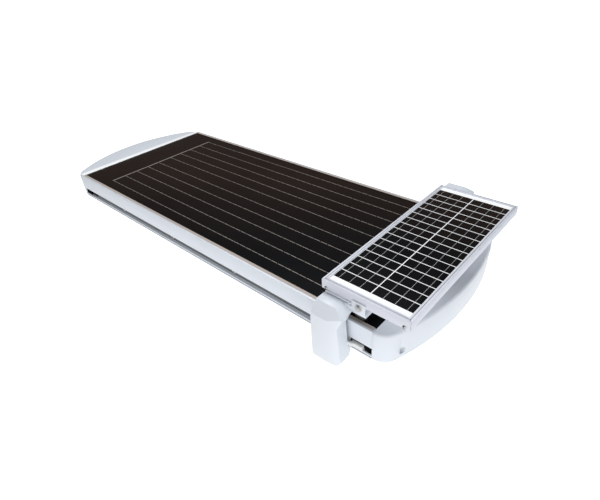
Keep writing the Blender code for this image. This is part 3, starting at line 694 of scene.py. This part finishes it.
class LAMP_OT_stage(bpy.types.Operator):
    """Make the floor, the lights, the surrounding light and the camera"""

    bl_idname = "lamp.stage"
    bl_label = "Stage"

    def execute(self, context):
        studio = context.scene.lamp_studio
        low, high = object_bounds()
        reach = (-FLOOR_REACH, FLOOR_REACH)
        depth = (low.z - FLOOR_DROP - FLOOR_THICKNESS, low.z - FLOOR_DROP)
        floor = solid("floor", [box_between(reach, reach, depth)], None)
        paint = bpy.data.materials.new("floor_paint")
        paint.use_nodes = True
        shader = paint.node_tree.nodes["Principled BSDF"]
        shader.inputs["Base Color"].default_value = (*studio.floor_colour, 1.0)
        shader.inputs["Roughness"].default_value = 0.9
        shader.inputs["Specular IOR Level"].default_value = 0.1
        shader.inputs["Emission Color"].default_value = (*studio.floor_colour, 1.0)
        glow = seen_or_felt(paint.node_tree, FLOOR_SEEN, FLOOR_FELT)
        paint.node_tree.links.new(glow, shader.inputs["Emission Strength"])
        floor.data.materials.append(paint)
        floor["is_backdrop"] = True

        middle = (low + high) / 2
        for name, (offset, size, power, colour) in STUDIO_LIGHTS.items():
            light = bpy.data.lights.new(name, "AREA")
            light.size = size
            light.energy = power
            light.color = colour
            holder = bpy.data.objects.new(name, light)
            holder.location = middle + Vector(offset)
            holder.rotation_euler = (-Vector(offset)).to_track_quat("-Z", "Y").to_euler()
            context.scene.collection.objects.link(holder)

        world = bpy.data.worlds.new("studio")
        world.use_nodes = True
        sky = world.node_tree.nodes["Background"]
        sky.inputs["Color"].default_value = SKY_COLOUR
        strength = seen_or_felt(world.node_tree, SKY_SEEN, studio.sky_strength)
        world.node_tree.links.new(strength, sky.inputs["Strength"])
        context.scene.world = world
        context.scene.view_settings.view_transform = "Standard"

        camera = bpy.data.cameras.new("camera")
        camera.lens = studio.lens
        camera.sensor_width = SENSOR_WIDTH
        camera.clip_end = 100.0
        eye = bpy.data.objects.new("camera", camera)
        turn = Matrix.Rotation(studio.bearing, 4, "Z") @ Matrix.Rotation(math.pi / 2 - studio.dip, 4, "X")
        eye.matrix_world = Matrix.Translation(studio.place) @ turn @ Matrix.Rotation(studio.roll, 4, "Z")
        context.scene.collection.objects.link(eye)
        context.scene.camera = eye
        return {"FINISHED"}


class LAMP_OT_parts(bpy.types.Operator):
    """Give every part its finish, and break the sharp edges of those that show"""

    bl_idname = "lamp.parts"
    bl_label = "Parts"

    def execute(self, context):
        for node, obj in frame["nodes"].items():
            obj.data.materials.clear()
            obj.data.materials.append(finish_of(finish_for(node)))
        for node in sorted(frame["nodes"]):
            for start, width in SOFTENED.items():
                if node.startswith(start):
                    softened(node, width)
        return {"FINISHED"}


class LAMP_OT_main_panel(bpy.types.Operator):
    """Lay the large panel's wafers, busbars, cross ribbon and the white strip at its far edge"""

    bl_idname = "lamp.main_panel"
    bl_label = "Main panel"

    def execute(self, context):
        sizes = context.scene.lamp_main_panel
        top = GLASS_HIGH.z
        ribbon_x = GLASS_LOW.x + GLASS_MARGIN
        pitch = sizes.wafer_length + sizes.wafer_gap
        run = pitch * (sizes.wafer_rows - 1)
        first = ribbon_x + 1.5 * MM + sizes.wafer_length / 2
        string_y = (sizes.wafer_width + sizes.string_gap) / 2
        wafers = pattern(
            "main_wafers",
            "box",
            "wafer_silicon",
            Count_X=sizes.wafer_rows,
            Count_Y=2,
            Span_X=run,
            Span_Y=string_y * 2,
            Piece_Size=(sizes.wafer_length, sizes.wafer_width, 0.06 * MM),
            Centre=(first + run / 2, 0.0, top + 0.03 * MM),
        )
        fitted(wafers, "lamp_head", "solar_glass")
        dashes = 5
        dash = pitch / dashes
        for side, way in SIDES.items():
            ribbons = pattern(
                f"main_busbars_{side}",
                "box",
                "busbar_tin",
                Count_X=dashes * sizes.wafer_rows,
                Count_Y=5,
                Span_X=dash * (dashes * sizes.wafer_rows - 1),
                Span_Y=sizes.busbar_pitch * 4,
                Piece_Size=(dash - 1.6 * MM, sizes.busbar_width, 0.05 * MM),
                Centre=(first + run / 2, way * string_y, top + 0.085 * MM),
            )
            fitted(ribbons, "lamp_head", "solar_glass")
        reach = string_y + sizes.busbar_pitch * 2 + 1.5 * MM
        cross = solid(
            "cross_ribbon",
            [((ribbon_x - 3 * MM, -reach, top + 0.02 * MM), (ribbon_x, reach, top + 0.11 * MM))],
            "busbar_tin",
        )
        fitted(cross, "lamp_head", "solar_glass")
        strip_x = GLASS_LOW.x + 1.0 * MM
        strip_box = box_between(
            (strip_x - 15 * MM, strip_x),
            (GLASS_LOW.y + 2 * MM, GLASS_HIGH.y - 2 * MM),
            (top + 0.1 * MM, top + 1.6 * MM),
        )
        strip = solid("edge_strip", [strip_box], "back_sheet", 0.3 * MM)
        fitted(strip, "lamp_head", "solar_glass")
        return {"FINISHED"}


class LAMP_OT_small_panel(bpy.types.Operator):
    """Lay the small panel's cells and busbars, put its fittings on and paint the shade of its frame's channel
    """

    bl_idname = "lamp.small_panel"
    bl_label = "Small panel"

    def execute(self, context):
        sizes = context.scene.lamp_small_panel
        centre = (SMALL_LOW + SMALL_HIGH) / 2
        top = SMALL_HIGH.z
        cell_x = (sizes.field_x - sizes.line) / 2
        row = sizes.field_y / sizes.rows
        cell_y = row - sizes.line
        span_y = row * (sizes.rows - 1)
        cells = pattern(
            "small_cells",
            "box",
            "cell_silicon",
            Count_X=2,
            Count_Y=sizes.rows,
            Span_X=cell_x + sizes.line,
            Span_Y=span_y,
            Piece_Size=(cell_x, cell_y, 0.08 * MM),
            Centre=(centre.x, 0.0, top + 0.04 * MM),
        )
        fitted(cells, "carriage", "solar_glass")
        for half, way in (("back", -1), ("front", 1)):
            ribbons = pattern(
                f"small_busbars_{half}",
                "box",
                "small_busbar",
                Count_X=3,
                Count_Y=sizes.rows,
                Span_X=sizes.busbar_pitch * 2,
                Span_Y=span_y,
                Piece_Size=(sizes.busbar_width, cell_y, 0.05 * MM),
                Centre=(centre.x + way * sizes.busbar_pitch * 2.03, 0.0, top + 0.1 * MM),
            )
            fitted(ribbons, "carriage", "solar_glass")
        for side, way in SIDES.items():
            self.fittings(side, way)
        self.frame_channel_shade()
        return {"FINISHED"}

    def frame_channel_shade(self):
        """Painted shade: dark strips for the narrow channel round the top of the frame."""
        low_x, high_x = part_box("panel_rail_back")[0].x + 3 * MM, PANEL_FRONT[1].x - 3 * MM
        reach = abs(PANEL_LOW.y) - 3 * MM
        wide = 1.3 * MM
        base, top = PANEL_HIGH.z - 0.1 * MM, PANEL_HIGH.z + 0.06 * MM
        strips = [
            ((low_x, -reach, base), (low_x + wide, reach, top)),
            ((high_x - wide, -reach, base), (high_x, reach, top)),
            ((low_x, -reach, base), (high_x, -reach + wide, top)),
            ((low_x, reach - wide, base), (high_x, reach, top)),
        ]
        fitted(solid("frame_channel_shade", strips, "frame_channel_shade"), "carriage", "anodised_aluminium")

    def fittings(self, side, way):
        """A short frame rail's corner screws and their painted shadows, its bent tab and bolt, and the arm's
        neck.
        """
        edge = way * abs(PANEL_LOW.y)
        middle_x = (PANEL_LOW.x + PANEL_HIGH.x) / 2
        screws = pattern(
            f"corner_screws_{side}",
            "dome",
            "zinc_steel",
            sides=12,
            Count_X=2,
            Count_Y=1,
            Span_X=PANEL_HIGH.x - PANEL_LOW.x - 16 * MM,
            Span_Y=0.0,
            Radius=2.2 * MM,
            Squash=(1.0, 1.0, 0.5),
            Centre=(middle_x + 0.8 * MM, edge + way * 0.2 * MM, PANEL_LOW.z + 3.0 * MM),
            Turn=(math.pi / 2, 0.0, 0.0),
        )
        fitted(screws, "carriage", "steel")
        # Painted shadow: dark discs set behind the corner screws, a little to one side
        shadow_discs = pattern(
            f"corner_screw_shadows_{side}",
            "disc",
            "painted_recess_shade",
            sides=20,
            Count_X=2,
            Count_Y=1,
            Span_X=PANEL_HIGH.x - PANEL_LOW.x - 16 * MM,
            Span_Y=0.0,
            Radius=2.8 * MM,
            Height=0.5 * MM,
            Centre=(middle_x - 0.4 * MM, edge, PANEL_LOW.z + 2.9 * MM),
            Turn=(math.pi / 2, 0.0, 0.0),
        )
        fitted(shadow_discs, "carriage", "steel")
        thick = 1.8 * MM
        inner = edge + way * 0.3 * MM
        outer = inner + way * thick
        foot = inner - way * 15 * MM
        cover_low, cover_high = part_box(f"arm_cover_{side}")
        low_x = cover_high.x - 1.5 * MM
        high_x = HOLDER_HIGH.x - 1 * MM
        deck = HOLDER_LOW.z + 2.4 * MM
        top = PANEL_LOW.z + 6 * MM
        upright = box_between((low_x, high_x), (outer, inner), (deck, top))
        flange = box_between((low_x, high_x), (inner, foot), (deck, deck + thick))
        tab = solid(f"panel_tab_{side}", [upright, flange], "white_enamel", 0.4 * MM)
        fitted(tab, "carriage", "white_shell")
        arm_inner = cover_high.y if way < 0 else cover_low.y
        neck_top = min(cover_high.z, PANEL_LOW.z) - 0.4 * MM
        neck_box = box_between(
            (cover_low.x + 4 * MM, cover_high.x - 0.8 * MM),
            (arm_inner + way * 1.0 * MM, edge - way * 10 * MM),
            (neck_top - 7 * MM, neck_top),
        )
        neck = solid(f"arm_neck_{side}", [neck_box], "white_enamel", 1.2 * MM)
        fitted(neck, "carriage", "white_shell")
        at = ((low_x + high_x) / 2 + 1.0 * MM, outer, PANEL_LOW.z - 2 * MM)
        turnings = {
            "washer": ([(0, 5.6 * MM), (1.0 * MM, 5.6 * MM), (1.3 * MM, 5.2 * MM)], 24),
            "bolt": ([(1.3 * MM, 4.0 * MM), (3.9 * MM, 4.0 * MM), (4.5 * MM, 3.4 * MM)], 6),
        }
        for name, (profile, sides) in turnings.items():
            piece = turned(f"tab_{name}_{side}", profile, at, (0, way, 0), "zinc_steel", sides)
            fitted(piece, "carriage", "steel")


class LAMP_OT_brush(bpy.types.Operator):
    """Set the bristles in the brush"""

    bl_idname = "lamp.brush"
    bl_label = "Brush"

    def execute(self, context):
        sizes = context.scene.lamp_brush
        height = BRUSH_HIGH.z - BRUSH_LOW.z
        centre = (BRUSH_LOW + BRUSH_HIGH) / 2
        bristles = pattern(
            "bristles",
            "strand",
            "bristle_nylon",
            sides=4,
            Count_X=sizes.rows,
            Count_Y=sizes.columns,
            Span_X=10 * MM,
            Span_Y=BRUSH_HIGH.y - BRUSH_LOW.y - 6 * MM,
            Radius=sizes.thickness,
            Height=height * 0.96,
            Splay=(sizes.splay * 0.35, sizes.splay, 3.0),
            Turn=(math.pi, 0.0, 0.0),
            Centre=(centre.x, 0.0, BRUSH_HIGH.z),
        )
        fitted(bristles, "carriage", "bristle", "brush_bristles")
        return {"FINISHED"}


class LAMP_OT_rail_screws(bpy.types.Operator):
    """Paint shade into the rails' grooves and darker shade at their ends, paint shade on the rails' top lips
    and put the flat screws in
    """

    bl_idname = "lamp.rail_screws"
    bl_label = "Rail screws"

    def execute(self, context):
        for side, way in SIDES.items():
            low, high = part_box(f"side_rail_{side}")
            outer = low.y if way < 0 else high.y
            floor = outer - way * GROOVE_DEPTH
            self.paint_groove_shade(side, way, low, high, outer, floor)
            self.dark_ends(side, way, low, high, outer, floor)
            self.lip_shade(side, way, low, high, outer)
            self.screws(side, low, floor)
        return {"FINISHED"}

    def paint_groove_shade(self, side, way, low, high, outer, floor):
        """Painted shade: the grey floor of the groove, which is the rail's aluminium in shade, and the grey
        seam line under it on the rail's outer face.
        """
        along = (low.x, high.x)
        boxes = [
            box_between(along, (floor, floor + way * 0.25 * MM), (low.z + 8 * MM, low.z + 21 * MM)),
            box_between(along, (outer, outer + way * 0.1 * MM), (low.z + 2.9 * MM, low.z + 4.4 * MM)),
        ]
        fitted(solid(f"groove_shade_and_seam_{side}", boxes, "groove_shade_and_seam"), "lamp_head", "black_plastic")

    def dark_ends(self, side, way, low, high, outer, floor):
        """Painted shade: the groove's black ends, beyond where the carriage's wheels and shoe reach."""
        shoe_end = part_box(f"guide_shoe_{side}")[1].x
        wheel_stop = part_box(f"guide_wheel_{side}_back")[0].x - TRAVEL
        upright = (low.z + GROOVE_LOW, low.z + GROOVE_HIGH)
        plug_y = (floor, outer - way * 2.0 * MM)
        back_y = (floor, floor + way * 0.5 * MM)
        far, near = wheel_stop - 3 * MM, shoe_end + 1.5 * MM
        ends = {
            "far": ((low.x, far), (low.x, far + 25 * MM)),
            "near": ((near, high.x), (near - 45 * MM, high.x)),
        }
        for end, (plug_x, back_x) in ends.items():
            boxes = [box_between(plug_x, plug_y, upright), box_between(back_x, back_y, upright)]
            fitted(solid(f"groove_end_{end}_{side}", boxes, "groove_end_shade"), "lamp_head", "black_plastic")

    def lip_shade(self, side, way, low, high, outer):
        """Painted shade: the darker line along the rail's top face."""
        strip = box_between(
            (low.x + 3 * MM, high.x - 1 * MM),
            (outer - way * 3.5 * MM, outer - way * 9.5 * MM),
            (high.z - 0.1 * MM, high.z + 0.04 * MM),
        )
        fitted(solid(f"lip_shade_{side}", [strip], "lip_shade"), "lamp_head", "anodised_aluminium")

    def screws(self, side, low, floor):
        """Flat heads on the groove's floor, low enough for the wheels to pass, with their sockets as dark
        discs of painted shade.
        """
        span = GROOVE_SCREW_PITCH * (GROOVE_SCREWS - 1)
        # The sockets are dark discs of painted shade for the hollows in the heads
        layers = {"heads": (4.0, 1.6, "zinc_steel", 16), "sockets": (1.8, 1.75, "painted_recess_shade", 6)}
        for name, (radius, height, finish, sides) in layers.items():
            screws = pattern(
                f"groove_{name}_{side}",
                "disc",
                finish,
                sides=sides,
                Count_X=GROOVE_SCREWS,
                Count_Y=1,
                Span_X=span,
                Span_Y=0.0,
                Radius=radius * MM,
                Height=2 * height * MM,
                Turn=(math.pi / 2, 0.0, 0.0),
                Centre=(low.x + GROOVE_SCREW_START + span / 2, floor, low.z + GROOVE_MIDDLE),
            )
            fitted(screws, "lamp_head", "steel")


class LAMP_OT_light(bpy.types.Operator):
    """Place the light sources, their optics and the screws of the lens plate and tray"""

    bl_idname = "lamp.light"
    bl_label = "Light"

    def execute(self, context):
        sizes = context.scene.lamp_light
        centre = (BOARD_LOW + BOARD_HIGH) / 2
        span_x = BOARD_HIGH.x - BOARD_LOW.x - 26 * MM
        span_y = BOARD_HIGH.y - BOARD_LOW.y - 26 * MM
        field = {"Count_X": sizes.columns, "Count_Y": sizes.rows, "Span_X": span_x, "Span_Y": span_y}
        chips = pattern(
            "light_chips",
            "box",
            "phosphor",
            Piece_Size=(sizes.chip, sizes.chip, 0.2 * MM),
            Centre=(centre.x, centre.y, BOARD_LOW.z - 0.1 * MM),
            **field,
        )
        fitted(chips, "lamp_head", "circuit_board")
        domes = pattern(
            "optic_domes",
            "dome",
            "clear_optic",
            sides=20,
            Radius=sizes.lens_radius,
            Squash=(1.0, 0.8, 0.42),
            Centre=(centre.x, centre.y, LENS_LOW.z),
            **field,
        )
        fitted(domes, "lamp_head", "clear_optic")
        edge_x = LENS_HIGH.x - LENS_LOW.x - 10 * MM
        edge_y = LENS_HIGH.y - LENS_LOW.y - 10 * MM
        tray_x = TRAY_HIGH.x - TRAY_LOW.x - 60 * MM
        rows = {
            "lens_screws_along": (6, 2, edge_x, edge_y, centre.x, LENS_LOW.z),
            "lens_screws_across": (2, 4, edge_x, edge_y * 0.6, centre.x, LENS_LOW.z),
            "tray_screws": (9, 2, tray_x, 290 * MM, (TRAY_LOW.x + TRAY_HIGH.x) / 2, TRAY_LOW.z),
        }
        for name, (count_x, count_y, span_x, span_y, x, z) in rows.items():
            screws = pattern(
                name,
                "dome",
                "zinc_steel",
                sides=14,
                Count_X=count_x,
                Count_Y=count_y,
                Span_X=span_x,
                Span_Y=span_y,
                Radius=3.0 * MM,
                Squash=(1.0, 1.0, 0.55),
                Centre=(x, 0.0, z),
            )
            fitted(screws, "lamp_head", "steel")
        return {"FINISHED"}


class LAMP_PT_lamp(bpy.types.Panel):
    """The lamp's pieces and sizes"""

    bl_idname = "LAMP_PT_lamp"
    bl_label = "Street lamp"
    bl_space_type = "VIEW_3D"
    bl_region_type = "UI"
    bl_category = "Street lamp"

    def draw(self, context):
        for maker in MAKERS:
            self.layout.operator(maker.bl_idname)
        for name, kind in SETTINGS.items():
            self.layout.label(text=kind.__doc__)
            group = getattr(context.scene, name)
            for field in kind.__annotations__:
                self.layout.prop(group, field)


MAKERS = (
    LAMP_OT_stage,
    LAMP_OT_parts,
    LAMP_OT_main_panel,
    LAMP_OT_small_panel,
    LAMP_OT_brush,
    LAMP_OT_rail_screws,
    LAMP_OT_light,
)
SETTINGS = {
    "lamp_main_panel": MainPanelSizes,
    "lamp_small_panel": SmallPanelSizes,
    "lamp_brush": BrushSizes,
    "lamp_light": LightSizes,
    "lamp_studio": StudioSettings,
}


def register():
    for kind in (*SETTINGS.values(), *MAKERS, LAMP_PT_lamp):
        bpy.utils.register_class(kind)
    for name, kind in SETTINGS.items():
        setattr(bpy.types.Scene, name, bpy.props.PointerProperty(type=kind))


def unregister():
    for name in SETTINGS:
        delattr(bpy.types.Scene, name)
    for kind in reversed((*SETTINGS.values(), *MAKERS, LAMP_PT_lamp)):
        bpy.utils.unregister_class(kind)


def main():
    """Registers everything and makes the pieces in order."""
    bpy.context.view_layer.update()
    register()
    bpy.ops.lamp.stage()
    bpy.ops.lamp.parts()
    bpy.ops.lamp.main_panel()
    bpy.ops.lamp.small_panel()
    bpy.ops.lamp.brush()
    bpy.ops.lamp.rail_screws()
    bpy.ops.lamp.light()


if __name__ == "__main__":
    main()
